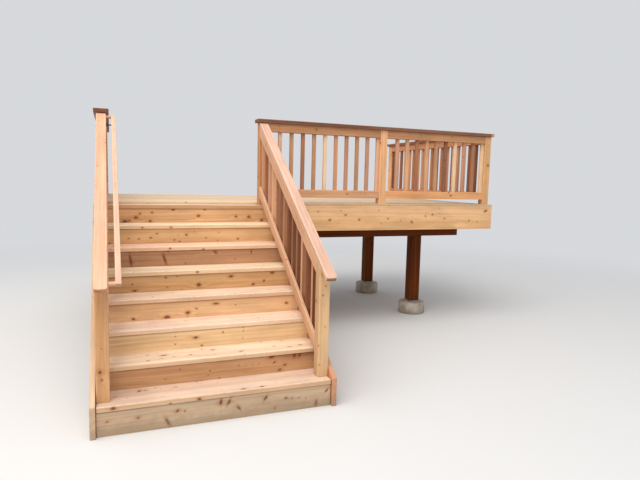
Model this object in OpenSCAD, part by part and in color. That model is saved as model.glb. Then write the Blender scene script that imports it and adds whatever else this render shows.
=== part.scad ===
// Timber deck with a straight flight of closed steps, square railings and a dark cap rail.
// X runs along the front of the deck, Y from the foot of the steps to the back of the deck, Z up.
// The origin is at ground level, under the middle of the whole structure.

/* [Timber sizes] */
// Thickness of the planks in the treads, skirts, joists, rims and caps
plank_t = 38; // [32:1:45]
// Thickness of the decking boards
deck_board_t = 25; // [20:1:38]
// Thickness of the riser boards
riser_t = 19; // [16:1:25]
// Side of the square railing posts
post_w = 89; // [80:1:100]
// Height of the railing's rails, and width of the caps on the steps
rail_h = 89; // [80:1:100]
// Side of the square balusters
stick_w = 38; // [32:1:45]
// Height of the joists and rims
joist_h = 286; // [235:1:300]
// Width of the deck's cap boards and of the nosing board at the head of the steps
cap_w = 140; // [130:1:160]
// Radius that the front edges of the treads are eased to
ease_r = 7; // [3:0.5:10]

/* [Steps] */
// Number of treads below the nosing board
tread_count = 7; // [5:1:9]
// Height of the lowest tread's top above the ground
first_rise = 215; // [190:1:230]
// Height from one tread to the next
rise = 181; // [165:1:195]
// Depth from one tread's nose to the next
going = 274; // [255:1:290]
// How far a tread stands out over the riser below it
overhang = 12; // [5:1:25]
// Length of the treads
stair_w = 1708; // [1400:1:2000]
// Gap between the treads' ends and the skirts
skirt_gap = 4; // [2:1:8]
// Height of the skirts' top edge over the line of the noses, measured plumb
skirt_over = 20; // [5:1:40]
// How far the skirts' plumb front end stands before the lowest nose
skirt_front = 15; // [0:1:30]
// Number of sawtooth carriages under the treads
carriage_count = 5; // [4:1:6]

/* [Step railings] */
// Setback of the bottom posts from the lowest nose
newel_setback = 75; // [40:1:100]
// Plumb height of the caps' top over the line of the noses
cap_over = 873; // [850:1:874]
// How far the caps reach out before the lowest nose
cap_reach = 75; // [40:1:110]
// Plumb height of the bottom rails over the line of the noses
low_rail_over = 85; // [75:1:110]
// Number of balusters on each side
stair_sticks = 14; // [12:1:16]
// Plumb height of the grab rail's top over the line of the noses
grab_over = 852; // [835:1:860]
// Clear space between the grab rail and the side railing
grab_clear = 47; // [40:1:60]
// Width of the grab rail
grab_w = 40; // [36:1:45]
// Thickness of the grab rail, square to its slope
grab_t = 32; // [28:1:38]
// Diameter of the round returns at the grab rail's ends
return_d = 30; // [24:1:31]
// Setback of the lower corner of the grab rail's front end from the lowest nose
grab_start = 5; // [0:1:20]
// Length of the grab rail along the slope
grab_len = 2341; // [2250:1:2345]
// Distance of the grab rail's bracket from the head post
bracket_back = 56; // [48:2:250]
// Diameter of the rod that the bracket is bent from
bracket_rod = 12; // [8:1:14]
// Thickness of the bracket's round plate
bracket_plate = 4; // [3:1:6]

/* [Deck] */
// Width of the deck over its rims
deck_w = 4740; // [4200:10:5200]
// Depth of the deck from its front face to its back
deck_d = 2629; // [2450:1:3200]
// How far the deck's front face stands before the last nose of the line
deck_forward = 20; // [16:1:24]
// Place of the post in the middle of the front, from the left posts' outer face
middle_post_x = 3080; // [2900:10:3300]
// Height of the cap's top over the decking
railing_h = 898; // [880:1:920]
// How far the front cap board reaches out past the right head post, over the steps
cap_past_post = 26; // [20:1:90]
// Distance of the side caps' rear ends from the deck's back
cap_rear_gap = 13; // [5:1:60]
// Clear height under the bottom rails, over the decking
under_rail = 63; // [50:1:90]
// Number of balusters in each bay of the front
bay_sticks = 10; // [9:1:11]
// Number of balusters in each side of the deck
side_sticks = 19; // [18:1:21]
// Distance of the rear posts from the deck's back
rear_post_back = 127; // [100:1:200]
// Number of joists between the outer rims
joist_count = 11; // [10:1:13]
// Clearance of the decking and of the steps' caps round the posts
post_gap = 1.5; // [1:0.5:5]

/* [Beams and piers] */
// Side of the square beams and of the posts under them
beam_w = 140; // [130:1:150]
// Distance of the front beam from the deck's front face
front_beam_back = 552; // [450:1:600]
// Distance of the rear beam from the deck's back
rear_beam_back = 552; // [450:1:600]
// Distance of the beams' ends from the deck's outer faces
beam_inset = 117; // [80:1:200]
// Distance of the outer beam posts' centres from the deck's outer faces
beam_post_inset = 757; // [600:1:900]
// Height of the steel shoes between the piers and the posts
shoe_h = 15; // [10:1:25]
// Thickness of the shoes' plates
shoe_plate = 6; // [4:1:8]
// Diameter of the round concrete piers
pier_d = 350; // [300:10:450]
// Height of the piers above level ground
pier_h = 156; // [100:1:250]

/* [Hidden] */
slope = rise / going;
angle = atan(slope);

// Plumb thickness of a sloped timber whose square thickness is t
function plumb(t) = t / cos(angle);

// Height over the ground of the line through the noses, at the place y
function nose_line(y) = first_rise + slope * y;

// Top of tread k, and front of its nose
function tread_top(k) = first_rise + (k - 1) * rise;
function tread_nose(k) = (k - 1) * going;

tread_d = going + overhang;
rim_top = tread_top(tread_count + 1);
rim_bottom = rim_top - joist_h;
deck_top = rim_top + deck_board_t;
post_top = deck_top + railing_h - plank_t;
stair_run = tread_count * going;
face_y = stair_run - deck_forward;
post_y = face_y + plank_t;
post_back = post_y + post_w;
header_back = post_y + 3 * plank_t;
nosing_y = post_y - riser_t - overhang;
nosing_back = nosing_y + cap_w;
back_y = face_y + deck_d;
left_x = -plank_t;
right_x = left_x + deck_w;
right_post_x = stair_w - post_w;
corner_post_x = right_x - plank_t - post_w;
rear_post_y = back_y - rear_post_back;
rail_t = (post_w - stick_w) / 2;
rail_bottom = deck_top + under_rail;
rail_top = post_top - rail_h;
skirt_x = skirt_gap + plank_t;
cap_in = (cap_w - post_w) / 2;
beam_top = rim_bottom;
beam_bottom = beam_top - beam_w;
front_beam_y = face_y + front_beam_back;
rear_beam_y = back_y - rear_beam_back - beam_w;
carriage_pitch = (stair_w + 2 * skirt_gap - plank_t) / (carriage_count - 1);
joist_pitch = (deck_w - plank_t) / (joist_count + 1);
stair_cap_end_y = post_y - post_gap;
beam_post_xs = [left_x + beam_post_inset, (left_x + right_x) / 2, right_x - beam_post_inset];
beam_ys = [front_beam_y, rear_beam_y];
cut_posts = [
    [middle_post_x, post_y],
    [corner_post_x, post_y],
    [0, rear_post_y],
    [corner_post_x, rear_post_y]
];
mid_x = (right_x - skirt_x) / 2;
mid_y = (back_y - cap_reach) / 2;
grab_x = post_w + grab_clear;
shoe_block = 0.8 * beam_w;
$fn = 48;

STEP_NODES = [for (k = [1 : tread_count]) str("tread_", k)];
RISER_NODES = [for (k = [1 : tread_count + 1]) str("riser_", k)];

// Moves the whole structure so that the origin is under the middle of it
module placed() {
    translate([-mid_x, -mid_y, 0])
        children();
}

// A square-cut timber between two opposite corners
module timber(from, to) {
    translate(from)
        cube(to - from);
}

// An outline drawn in Y and Z, given a thickness w along X from the place x
module side_shape(x, w) {
    translate([x, 0, 0])
        rotate([90, 0, 90])
            linear_extrude(w)
                children();
}

// A strip that follows the line of the noses between two plumb ends, low and high over that line
module sloped_strip(y0, y1, low, high) {
    polygon([
        [y0, nose_line(y0) + low],
        [y1, nose_line(y1) + low],
        [y1, nose_line(y1) + high],
        [y0, nose_line(y0) + high]
    ]);
}

// A tread is one wide plank with both front edges eased; it runs back under the riser above it, but the
// last one stops against the riser
module tread(k) {
    y = tread_nose(k);
    back = min(y + tread_d, post_y - riser_t);
    top = tread_top(k);
    color("BurlyWood")
        placed()
            side_shape(0, stair_w) {
                translate([y + ease_r, top - plank_t])
                    square([back - y - ease_r, plank_t]);
                translate([y, top - plank_t + ease_r])
                    square([ease_r, plank_t - 2 * ease_r]);
                for (z = [top - ease_r, top - plank_t + ease_r])
                    translate([y + ease_r, z])
                        circle(ease_r);
            }
}

// A riser closes the front under each tread; the last one runs in front of the head posts
module riser(k) {
    low = k == 1 ? 0 : tread_top(k - 1) - plank_t;
    front = min(tread_nose(k) + overhang, post_y - riser_t);
    color("Peru")
        placed()
            timber([0, front, low], [stair_w, front + riser_t, tread_top(k) - plank_t]);
}

// The nosing board at the head of the steps, notched back round the two head posts
module deck_nosing() {
    color("Wheat")
        placed() {
            low = rim_top - plank_t;
            union() {
                timber([0, nosing_y, low], [stair_w, post_y, rim_top]);
                timber([post_w, post_y, low], [right_post_x, nosing_back, rim_top]);
            }
        }
}

// A skirt is a sloped plank outside the treads' ends, cut plumb in front and level on the ground
module skirt(x) {
    low = skirt_over - plumb(joist_h);
    foot = -(first_rise + low) / slope;
    color("Tan")
        placed()
            side_shape(x, plank_t)
                polygon([
                    [-skirt_front, 0],
                    [foot, 0],
                    [face_y, nose_line(face_y) + low],
                    [face_y, nose_line(face_y) + skirt_over],
                    [-skirt_front, nose_line(-skirt_front) + skirt_over]
                ]);
}

// A carriage is a plank sawn into teeth: each tooth carries a tread on its level edge and a riser on its
// plumb edge, and the plank's uncut lower edge runs parallel to the line of the noses
module carriage(x, end_y) {
    tip = overhang + riser_t;
    tip_z = tread_top(1) - plank_t;
    low = tip_z - slope * tip - plumb(joist_h);
    teeth = [for (k = [1 : tread_count], y = [tread_nose(k), tread_nose(k + 1)])
        [min(y + tip, end_y), tread_top(k) - plank_t]];
    side_shape(x, plank_t)
        polygon(concat([[tip, 0]], teeth, [[end_y, low + slope * end_y], [-low / slope, 0]]));
}

module carriages() {
    color("SandyBrown")
        placed()
            for (k = [0 : carriage_count - 1])
                carriage(-skirt_gap + k * carriage_pitch, post_y);
}

// The bottom posts stand on the lowest tread, and their tops are sawn to the slope of the caps
module newel(x) {
    under_cap = cap_over - plumb(plank_t);
    y1 = newel_setback + post_w;
    color("Goldenrod")
        placed()
            side_shape(x, post_w)
                polygon([
                    [newel_setback, first_rise],
                    [y1, first_rise],
                    [y1, nose_line(y1) + under_cap],
                    [newel_setback, nose_line(newel_setback) + under_cap]
                ]);
}

// A cap on the steps: a flat plank on the slope, square at its lower end and plumb at the head post
module stair_cap(x) {
    back = plank_t * sin(angle);
    foot_z = nose_line(-cap_reach) + cap_over;
    under = cap_over - plumb(plank_t);
    color("PeachPuff")
        placed()
            side_shape(x, rail_h)
                polygon([
                    [-cap_reach, foot_z],
                    [-cap_reach + back, foot_z - plank_t * cos(angle)],
                    [stair_cap_end_y, nose_line(stair_cap_end_y) + under],
                    [stair_cap_end_y, nose_line(stair_cap_end_y) + cap_over]
                ]);
}

// The sloped rails of one side, one under the cap and one low over the treads: each is a pair of boards,
// flush with both faces of the posts, and the balusters stand between the two
module stair_rails(x) {
    y0 = newel_setback + post_w;
    under_cap = cap_over - plumb(plank_t);
    color("Chocolate")
        placed()
            for (side = [0, post_w - rail_t]) {
                side_shape(x + side, rail_t)
                    sloped_strip(y0, post_y, under_cap - plumb(rail_h), under_cap);
                side_shape(x + side, rail_t)
                    sloped_strip(y0, post_y, low_rail_over, low_rail_over + plumb(rail_h));
            }
}

// The balusters of one side reach from the low rail's lower edge up to the cap, both ends sawn to the slope
module stair_balusters(x) {
    y0 = newel_setback + post_w;
    pitch = (post_y - y0 - stick_w) / (stair_sticks - 1);
    color("SandyBrown")
        placed()
            for (k = [0 : stair_sticks - 1])
                side_shape(x + rail_t, stick_w)
                    sloped_strip(y0 + k * pitch, y0 + k * pitch + stick_w,
                                 low_rail_over, cap_over - plumb(plank_t));
}

// The grab rail: a flat rail on the slope, and a round return from it to the side railing at each end
module grab_rail() {
    color("BurlyWood")
        placed()
            translate([0, grab_start, nose_line(grab_start) + grab_over - plumb(grab_t)])
                rotate([angle, 0, 0]) {
                    translate([grab_x, 0, 0])
                        cube([grab_w, grab_len, grab_t]);
                    for (y = [grab_t / 2, grab_len - grab_t / 2])
                        translate([post_w, y, grab_t / 2])
                            rotate([0, 90, 0])
                                cylinder(h = grab_clear, d = return_d);
                }
}

// The bracket: a round plate on the sloped rail, an arm out from it and a prop up to the grab rail
module grab_rail_bracket() {
    y = post_y - bracket_back;
    arm_z = nose_line(y) + grab_over - plumb(grab_t) - bracket_rod * 2;
    prop_x = grab_x + grab_w / 2;
    color("DimGray")
        placed()
            union() {
                translate([post_w, y, arm_z])
                    rotate([0, 90, 0])
                        cylinder(h = bracket_plate, d = bracket_rod * 3);
                translate([post_w, y, arm_z])
                    rotate([0, 90, 0])
                        cylinder(h = prop_x - post_w, d = bracket_rod);
                translate([prop_x, y, arm_z])
                    sphere(d = bracket_rod);
                translate([prop_x, y, arm_z])
                    cylinder(h = bracket_rod * (2 - slope / 2), d = bracket_rod);
            }
}

// A deck post is bolted inside the rims and runs up to the cap boards
module deck_post(x, y) {
    color("Goldenrod")
        placed()
            timber([x, y, rim_bottom], [x + post_w, y + post_w, post_top]);
}

// The front cap board runs from the right head post to the corner, over the right side's board
module deck_cap_front() {
    color("SaddleBrown")
        placed()
            timber([right_post_x - cap_past_post, post_y - cap_in, post_top],
                   [corner_post_x + post_w + cap_in, post_y + post_w + cap_in, post_top + plank_t]);
}

// A side cap board runs back over the posts of one side, from the place y
module deck_side_cap(x, y) {
    color("SaddleBrown")
        placed()
            timber([x - cap_in, y, post_top],
                   [x - cap_in + cap_w, back_y - cap_rear_gap, post_top + plank_t]);
}

// The bays of the front railing, each between the faces of two posts
function front_bays() = [
    [stair_w, middle_post_x],
    [middle_post_x + post_w, corner_post_x]
];

module deck_rails_front() {
    color("Chocolate")
        placed()
            for (bay = front_bays(), z = [rail_bottom, rail_top])
                for (y = [post_y, post_back - rail_t])
                    timber([bay[0], y, z], [bay[1], y + rail_t, z + rail_h]);
}

module deck_side_rails(x) {
    color("Chocolate")
        placed()
            for (side = [0, post_w - rail_t], z = [rail_bottom, rail_top])
                timber([x + side, post_back, z], [x + side + rail_t, rear_post_y, z + rail_h]);
}

// The deck's balusters stand between the two boards of each rail; in front the last one of a bay stands
// against the post at the right
module deck_balusters_front() {
    y = post_y + rail_t;
    color("SandyBrown")
        placed()
            for (bay = front_bays(), k = [0 : bay_sticks - 1]) {
                x = bay[1] - stick_w - k * (bay[1] - bay[0] - stick_w) / bay_sticks;
                timber([x, y, rail_bottom], [x + stick_w, y + stick_w, post_top]);
            }
}

module deck_side_balusters(x) {
    pitch = (rear_post_y - post_back - stick_w) / (side_sticks - 1);
    color("SandyBrown")
        placed()
            for (k = [0 : side_sticks - 1]) {
                y = post_back + k * pitch;
                timber([x + rail_t, y, rail_bottom], [x + rail_t + stick_w, y + stick_w, post_top]);
            }
}

// The decking is flush with the rims, cut back behind the nosing board and cut out round the posts
module decking() {
    front_cut = nosing_back + 2;
    color("NavajoWhite")
        placed()
            difference() {
                timber([left_x, face_y, rim_top], [right_x, back_y, deck_top]);
                timber([0, face_y - 1, rim_top - 1], [stair_w + skirt_gap, front_cut, deck_top + 1]);
                for (p = cut_posts)
                    timber([p[0] - post_gap, p[1] - post_gap, rim_top - 1],
                           [p[0] + post_w + post_gap, p[1] + post_w + post_gap, deck_top + 1]);
            }
}

module rim_front() {
    color("Orange")
        placed()
            timber([stair_w + skirt_gap, face_y, rim_bottom], [right_x, post_y, rim_top]);
}

module rim_left() {
    color("Orange")
        placed()
            timber([left_x, face_y, rim_bottom], [0, back_y, rim_top]);
}

module rim_right() {
    color("Orange")
        placed()
            timber([right_x - plank_t, post_y, rim_bottom], [right_x, back_y, rim_top]);
}

// Three planks nailed together between the head posts carry the nosing board and the joists behind the steps
module stair_header() {
    color("SandyBrown")
        placed()
            timber([post_w, post_y, rim_bottom], [right_post_x, header_back, rim_top - plank_t]);
}

// The ledger is the plank that is bolted to the building behind the deck
module ledger() {
    color("SandyBrown")
        placed()
            timber([0, back_y - plank_t, rim_bottom], [right_x - plank_t, back_y, rim_top]);
}

// A joist starts behind the header at the steps, behind a post that is in its way, or else at the rim
function joist_front(x) =
    x < stair_w ? header_back
    : x + plank_t > middle_post_x && x < middle_post_x + post_w ? post_back
    : post_y;

module joists() {
    color("SandyBrown")
        placed()
            for (k = [1 : joist_count]) {
                x = left_x + k * joist_pitch;
                timber([x, joist_front(x), rim_bottom], [x + plank_t, back_y - plank_t, rim_top]);
            }
}

module beams() {
    color("SaddleBrown")
        placed()
            for (y = beam_ys)
                timber([left_x + beam_inset, y, beam_bottom], [right_x - beam_inset, y + beam_w, beam_top]);
}

module beam_posts() {
    color("SaddleBrown")
        placed()
            for (x = beam_post_xs, y = beam_ys)
                timber([x - beam_w / 2, y, pier_h + shoe_h], [x + beam_w / 2, y + beam_w, beam_bottom]);
}

// A shoe is a steel plate on the pier with a smaller block that lifts the post clear of it
module post_shoes() {
    color("Silver")
        placed()
            for (x = beam_post_xs, y = beam_ys)
                translate([x, y + beam_w / 2, pier_h])
                    union() {
                        translate([-beam_w / 2, -beam_w / 2, 0])
                            cube([beam_w, beam_w, shoe_plate]);
                        translate([-shoe_block / 2, -shoe_block / 2, 0])
                            cube([shoe_block, shoe_block, shoe_h]);
                    }
}

module piers() {
    color("LightGray")
        placed()
            for (x = beam_post_xs, y = beam_ys)
                translate([x, y + beam_w / 2, 0])
                    cylinder(h = pier_h, d = pier_d);
}

for (k = [1 : tread_count]) tread(k);
for (k = [1 : tread_count + 1]) riser(k);
deck_nosing();
skirt(-skirt_x);  // skirt_left
skirt(stair_w + skirt_gap);  // skirt_right
carriages();
newel(0);  // newel_left
newel(right_post_x);  // newel_right
stair_cap(0);  // stair_cap_left
stair_cap(stair_w - rail_h);  // stair_cap_right
stair_rails(0);  // stair_rails_left
stair_rails(right_post_x);  // stair_rails_right
stair_balusters(0);  // stair_balusters_left
stair_balusters(right_post_x);  // stair_balusters_right
grab_rail();
grab_rail_bracket();
deck_post(0, post_y);  // head_post_left
deck_post(right_post_x, post_y);  // head_post_right
deck_post(middle_post_x, post_y);  // front_post
deck_post(corner_post_x, post_y);  // corner_post
deck_post(0, rear_post_y);  // rear_post_left
deck_post(corner_post_x, rear_post_y);  // rear_post_right
deck_cap_front();
deck_side_cap(0, post_y - cap_in);  // deck_cap_left
deck_side_cap(corner_post_x, post_back + cap_in);  // deck_cap_right
deck_rails_front();
deck_side_rails(0);  // deck_rails_left
deck_side_rails(corner_post_x);  // deck_rails_right
deck_balusters_front();
deck_side_balusters(0);  // deck_balusters_left
deck_side_balusters(corner_post_x);  // deck_balusters_right
decking();
rim_front();
rim_left();
rim_right();
stair_header();
ledger();
joists();
beams();
beam_posts();
post_shoes();
piers();
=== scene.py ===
import math

import bpy
import numpy as np
from mathutils import Matrix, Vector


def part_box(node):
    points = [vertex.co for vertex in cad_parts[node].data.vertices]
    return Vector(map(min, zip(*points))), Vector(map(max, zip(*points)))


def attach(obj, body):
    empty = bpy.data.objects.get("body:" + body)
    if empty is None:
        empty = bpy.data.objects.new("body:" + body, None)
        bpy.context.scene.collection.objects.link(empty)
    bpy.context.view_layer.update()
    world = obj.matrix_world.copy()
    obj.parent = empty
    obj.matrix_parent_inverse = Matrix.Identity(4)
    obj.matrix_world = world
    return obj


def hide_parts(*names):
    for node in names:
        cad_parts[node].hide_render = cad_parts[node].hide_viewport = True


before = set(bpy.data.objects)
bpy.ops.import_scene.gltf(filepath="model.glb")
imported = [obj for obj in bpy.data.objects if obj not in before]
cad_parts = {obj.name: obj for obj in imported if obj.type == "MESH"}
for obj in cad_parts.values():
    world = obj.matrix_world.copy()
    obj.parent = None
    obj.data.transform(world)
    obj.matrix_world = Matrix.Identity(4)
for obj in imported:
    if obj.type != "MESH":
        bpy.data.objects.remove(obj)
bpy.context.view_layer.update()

# PIERS
# Six round pads of tan concrete, cast in tube forms and standing on level ground.
# Each top is floated flat, and its rim is rounded and a little worn.


def srgb(red, green, blue):
    """A colour written as 0 to 255 on a screen, turned into linear light by the usual power of 2.4."""
    screen = np.array([red, green, blue]) / 255.0
    return ((screen + 0.055) / 1.055) ** 2.4


def opaque(red, green, blue):
    """The same colour as a shader's socket takes it, with a fourth value for full cover."""
    return (*srgb(red, green, blue), 1)


def turned(profile, sides):
    """Carries a profile of (radius, height) rows once round the Z axis: point = (r cos a, r sin a, h).
    The first and last rows lie on the axis, so each is one point that a fan of triangles closes."""
    angle = np.arange(sides) * 2 * np.pi / sides
    radius, height = profile[1:-1, 0], profile[1:-1, 1]
    rings = np.stack([
        radius[:, None] * np.cos(angle),
        radius[:, None] * np.sin(angle),
        np.repeat(height[:, None], sides, axis=1),
    ], axis=2)
    points = np.vstack([[(0, 0, profile[0, 1])], rings.reshape(-1, 3), [(0, 0, profile[-1, 1])]])
    here = 1 + np.arange(sides)
    there = 1 + (np.arange(sides) + 1) % sides
    lift = sides * np.arange(len(radius) - 1)[:, None]
    walls = np.stack([here + lift, there + lift, there + lift + sides, here + lift + sides], axis=2)
    top = sides * (len(radius) - 1)
    faces = walls.reshape(-1, 4).tolist()
    faces += np.stack([np.zeros(sides, int), there, here], axis=1).tolist()
    faces += np.stack([np.full(sides, len(points) - 1), here + top, there + top], axis=1).tolist()
    return {"points": points, "faces": faces}


def joined(parts):
    """Puts the points of several closed shapes in one list, with each shape's face numbers moved up."""
    starts = np.cumsum([0] + [len(part["points"]) for part in parts])
    faces = [[corner + int(start) for corner in face]
             for part, start in zip(parts, starts) for face in part["faces"]]
    marks = [key for key in parts[0] if key not in ("points", "faces")]
    whole = {key: np.concatenate([part[key] for part in parts]) for key in ["points"] + marks}
    return {**whole, "faces": faces}


def put_in_place(name, parts, finish, node):
    """Makes one piece of the given shapes, with their marks as attributes, and stands it in for a solid if
    there is one."""
    shape = joined(parts)
    mesh = bpy.data.meshes.new(name)
    mesh.from_pydata(shape["points"].tolist(), [], shape["faces"])
    for mark in [key for key in shape if key not in ("points", "faces")]:
        kind, value = ("FLOAT_VECTOR", "vector") if shape[mark].ndim == 2 else ("FLOAT", "value")
        layer = mesh.attributes.new(mark, kind, "POINT")
        layer.data.foreach_set(value, shape[mark].astype(np.float32).ravel())
    mesh.materials.append(finish)
    piece = bpy.data.objects.new(name, mesh)
    bpy.context.scene.collection.objects.link(piece)
    if node:
        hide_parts(node)
    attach(piece, "root")
    return piece


def wire(tree, kind, inputs=None, **settings):
    """Adds one shader node, with its settings, and feeds its sockets with numbers or other nodes' outputs."""
    node = tree.nodes.new(kind)
    for key, value in settings.items():
        setattr(node, key, value)
    for socket, value in (inputs or {}).items():
        if isinstance(value, bpy.types.NodeSocket):
            tree.links.new(value, node.inputs[socket])
        else:
            node.inputs[socket].default_value = value
    return node


def reckoned(tree, operation, *values):
    """The outcome of one sum on a few values."""
    return wire(tree, "ShaderNodeMath", dict(enumerate(values)), operation=operation).outputs[0]


def times(tree, first, second, plus=0.0):
    """Two values multiplied, with a third added."""
    return reckoned(tree, "MULTIPLY_ADD", first, second, plus)


def eased_step(tree, value, start, end, low=0.0, high=1.0):
    """Goes from low to high along a smooth S as the value goes from start to end."""
    sockets = {0: value, 1: start, 2: end, 3: low, 4: high}
    return wire(tree, "ShaderNodeMapRange", sockets, interpolation_type="SMOOTHSTEP").outputs[0]


def cloud(tree, vector, scale=1.0, detail=2.0, roughness=0.5, output="Fac"):
    """A noise on a vector."""
    sockets = {"Vector": vector, "Scale": scale, "Detail": detail, "Roughness": roughness}
    return wire(tree, "ShaderNodeTexNoise", sockets).outputs[output]


def blended(tree, factor, first, second, blend_type="MIX"):
    """One colour mixed with another."""
    sockets = {0: factor, 6: first, 7: second}
    return wire(tree, "ShaderNodeMix", sockets, data_type="RGBA", blend_type=blend_type).outputs[2]


def new_finish(name):
    """An empty material, with its node tree and its main shader."""
    material = bpy.data.materials.new(name)
    material.use_nodes = True
    return material, material.node_tree, material.node_tree.nodes["Principled BSDF"]


def own_place(tree):
    """Each point's place in metres."""
    return wire(tree, "ShaderNodeTexCoord").outputs["Object"]


def height_of(tree, place):
    """A place's height over the ground."""
    return wire(tree, "ShaderNodeSeparateXYZ", {0: place}).outputs["Z"]


def cast_concrete():
    """Tan concrete with soft stains, a fine grey and white grit, small blow holes darkened with painted shade,
    and earth splashed up its foot."""
    material, tree, shader = new_finish("cast_concrete")
    place = own_place(tree)
    stain = cloud(tree, place, 7.0, 4.0, 0.6)
    grit = cloud(tree, place, 420.0, 2.0, 0.7)
    holes = wire(tree, "ShaderNodeTexVoronoi", {"Vector": place, "Scale": 70.0}).outputs["Distance"]
    pit = eased_step(tree, holes, 0.10, 0.16, 1.0, 0.0)
    pale, dull, earth = opaque(205, 195, 178), opaque(160, 148, 130), opaque(120, 98, 76)
    grey, shadow = opaque(120, 112, 100), opaque(90, 82, 72)
    colour = blended(tree, eased_step(tree, stain, 0.35, 0.68), pale, dull)
    colour = blended(tree, times(tree, grit, 0.35), colour, grey)
    # Painted shade in the blow holes
    colour = blended(tree, times(tree, pit, 0.6), colour, shadow)
    splash = reckoned(tree, "ADD", height_of(tree, place), times(tree, stain, 0.07))
    colour = blended(tree, eased_step(tree, splash, 0.03, 0.10, 0.65, 0.0), colour, earth)
    relief = reckoned(tree, "SUBTRACT", times(tree, grit, 0.4), pit)
    bump = wire(tree, "ShaderNodeBump", {"Height": relief, "Strength": 0.5, "Distance": 0.002})
    tree.links.new(colour, shader.inputs["Base Color"])
    tree.links.new(bump.outputs["Normal"], shader.inputs["Normal"])
    shader.inputs["Roughness"].default_value = 0.9
    return material


pier_rim, pier_chamfer, pier_crown = 0.012, 0.004, 0.003


def pier(centre_x, centre_y, radius, height):
    """A turned pad: flat chamfered foot, plumb wall, a rim rounded as a quarter circle, and a top crowned by
    a parabola."""
    turn = np.linspace(0, np.pi / 2, 5)
    inward = np.linspace(1, 0, 6)[1:]
    inner = radius - pier_rim
    shoulder = height - pier_crown - pier_rim
    profile = np.vstack([
        [(0, 0), (radius - pier_chamfer, 0), (radius, pier_chamfer)],
        np.column_stack((np.full(5, radius), np.linspace(5 * pier_chamfer, shoulder, 5))),
        np.column_stack((inner + pier_rim * np.cos(turn), shoulder + pier_rim * np.sin(turn))),
        np.column_stack((inner * inward, height - pier_crown * inward ** 2)),
    ])
    shape = turned(profile, sides=64)
    shape["points"] = shape["points"] + (centre_x, centre_y, 0)
    return shape


posts_per_beam, beam_count = 3, 2
pier_low, pier_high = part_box("piers")
post_low, post_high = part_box("beam_posts")
beam_low, beam_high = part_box("beams")
beam_side = beam_high.z - beam_low.z
pier_radius = (pier_high.x - pier_low.x - (post_high.x - post_low.x) + beam_side) / 2
pier_xs = np.linspace(pier_low.x + pier_radius, pier_high.x - pier_radius, posts_per_beam)
pier_ys = np.linspace(pier_low.y + pier_radius, pier_high.y - pier_radius, beam_count)
pads = [pier(x, y, pier_radius, pier_high.z) for x in pier_xs for y in pier_ys]
put_in_place("concrete_piers", pads, cast_concrete(), "piers")

# POST SHOES
# Galvanised steel plates that keep the feet of the beam posts off the concrete.
# They are stamped and hot-dipped, so they show a faint spangle and dull grey patches.


def galvanised():
    """Dull zinc: a spangle of flat crystals a centimetre wide, each a little lighter or darker."""
    material, tree, shader = new_finish("galvanised_steel")
    place = own_place(tree)
    spangle = wire(tree, "ShaderNodeTexVoronoi", {"Vector": place, "Scale": 90.0}).outputs["Color"]
    dull = cloud(tree, place, 30.0, 3.0)
    colour = blended(tree, spangle, opaque(150, 154, 156), opaque(196, 199, 200))
    tree.links.new(colour, shader.inputs["Base Color"])
    tree.links.new(eased_step(tree, dull, 0.3, 0.7, 0.35, 0.6), shader.inputs["Roughness"])
    shader.inputs["Metallic"].default_value = 0.9
    return material


def refinish(node, finish):
    """Gives a finish to a solid whose own mesh is kept."""
    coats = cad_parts[node].data.materials
    coats.clear()
    coats.append(finish)


zinc = galvanised()
refinish("post_shoes", zinc)

# BEAM POSTS AND BEAMS
# Six heavy square posts stand on the shoes, and two beams lie on them under the joists.
# They are rough fir, stained a dark red-brown.

saw = np.random.default_rng(11)
# For each way the grain can run: the axis along it, then the two across
AXES = {"x": (0, 1, 2), "y": (1, 2, 0), "z": (2, 0, 1)}
near_arris = 0.004
no_knot_near = 9.0


def end_outline(width, depth, ease, spacing):
    """The outline of a timber's end: a rectangle with quarter circles of the easing radius at its corners,
    walked anticlockwise, with a point close to each arris and none on the flats further apart than the
    spacing. The second array is 1 on the arrises and 0 on the flats."""
    turn = np.linspace(0, np.pi / 2, 4)
    corners = np.array([
        (width - ease, depth - ease), (ease, depth - ease), (ease, ease), (width - ease, ease)
    ])
    rows = []
    arris = []
    for quarter, corner in enumerate(corners):
        angle = quarter * np.pi / 2 + turn
        arc = corner + ease * np.column_stack((np.cos(angle), np.sin(angle)))
        following = corners[(quarter + 1) % 4] + ease * np.array((np.cos(angle[-1]), np.sin(angle[-1])))
        flat = np.linalg.norm(following - arc[-1])
        beside = min(near_arris, flat / 4) / flat
        steps = max(1, math.ceil(flat / spacing))
        share = np.linspace(beside, 1 - beside, steps + 1)[:, None]
        rows += [arc, arc[-1] + share * (following - arc[-1])]
        arris += [np.ones(len(arc)), np.zeros(len(share))]
    return np.vstack(rows), np.concatenate(arris)


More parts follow.
